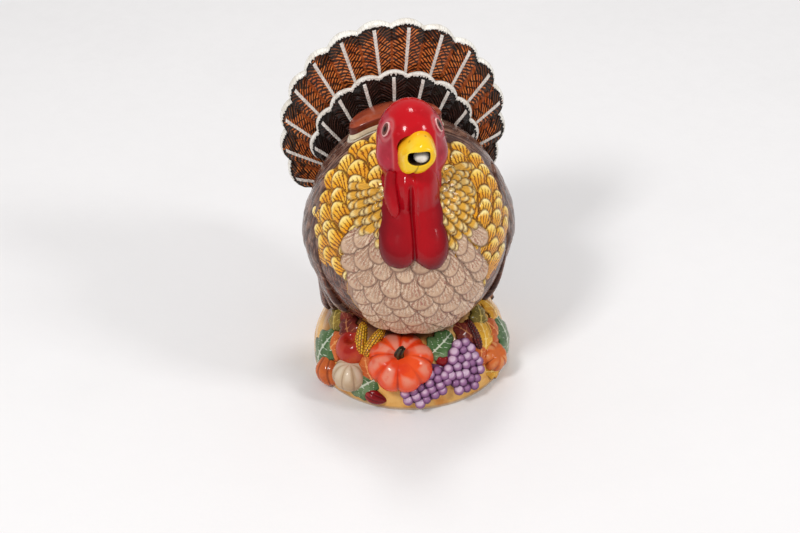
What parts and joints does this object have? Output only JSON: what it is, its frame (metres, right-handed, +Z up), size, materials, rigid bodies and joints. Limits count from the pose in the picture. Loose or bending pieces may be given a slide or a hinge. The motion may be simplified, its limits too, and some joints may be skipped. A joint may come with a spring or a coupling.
{
  "type": "turkey pouring pot",
  "caption": "Glazed earthenware turkey with a lift-off lid, a pouring spout in the open beak, a fanned tail and a mound of autumn fruit as its base.",
  "frame": {"origin": "middle of the foot ring, on the table", "axes": "+Z up, the bird faces -Y, +X to the right as seen from in front of the bird"},
  "size_m": [0.1208, 0.1449, 0.1843],
  "materials": {
    "glaze_gold": "clear gloss glaze over gold and beige painted feathers",
    "glaze_ochre": "clear gloss glaze over ochre, bare on the foot ring",
    "glaze_red_brown": "red-brown gloss glaze with a cream rim",
    "glaze_red": "bright red gloss glaze",
    "glaze_crimson": "crimson gloss glaze",
    "glaze_yellow": "yellow gloss glaze",
    "glaze_rust": "rust gloss glaze with dark bars and white rims",
    "glaze_dark_brown": "near-black gloss glaze with white shafts",
    "glaze_grey_brown": "grey-brown gloss glaze with pale barring",
    "glaze_orange": "orange gloss glaze",
    "glaze_purple": "purple gloss glaze",
    "glaze_green": "green gloss glaze with pale veins",
    "glaze_cream": "cream gloss glaze"
  },
  "bodies": {
    "vessel": {"body_pot": "glaze_gold", "base_mound": "glaze_ochre", "head_spout": "glaze_red", "upper_beak": "glaze_yellow", "lower_beak": "glaze_yellow", "wattle_left": "glaze_crimson", "wattle_right": "glaze_crimson", "snood": "glaze_crimson", "tail_fan": "glaze_rust", "tail_coverts": "glaze_dark_brown", "left_wing": "glaze_grey_brown", "right_wing": "glaze_grey_brown", "rear_handle": "glaze_grey_brown", "pumpkin": "glaze_orange", "pumpkin_stem": "glaze_dark_brown", "grapes_front": "glaze_purple", "grapes_right": "glaze_purple", "leaf_front": "glaze_green", "white_pumpkin": "glaze_cream", "strawberry": "glaze_crimson", "red_apple": "glaze_red", "leaf_left": "glaze_green", "orange_squash": "glaze_orange", "corn_cob_first": "glaze_rust", "corn_cob_second": "glaze_rust", "leaf_middle": "glaze_green", "cranberry": "glaze_crimson", "small_pumpkin": "glaze_orange", "corn_cob_dark": "glaze_crimson", "corn_husk": "glaze_yellow", "leaf_right": "glaze_green", "rear_pumpkin": "glaze_orange", "rear_gourd": "glaze_cream", "acorn_left": "glaze_red_brown", "acorn_right": "glaze_red_brown", "leaf_rear_left": "glaze_green", "leaf_rear_right": "glaze_green", "rear_squash": "glaze_orange"},
    "lid": {"lid": "glaze_red_brown"}
  },
  "joints": [
    {"name": "lid_lift", "type": "slide", "parent": "vessel", "child": "lid", "axis": [0, 0, 1], "range_m": [0, 0.065]}
  ]
}
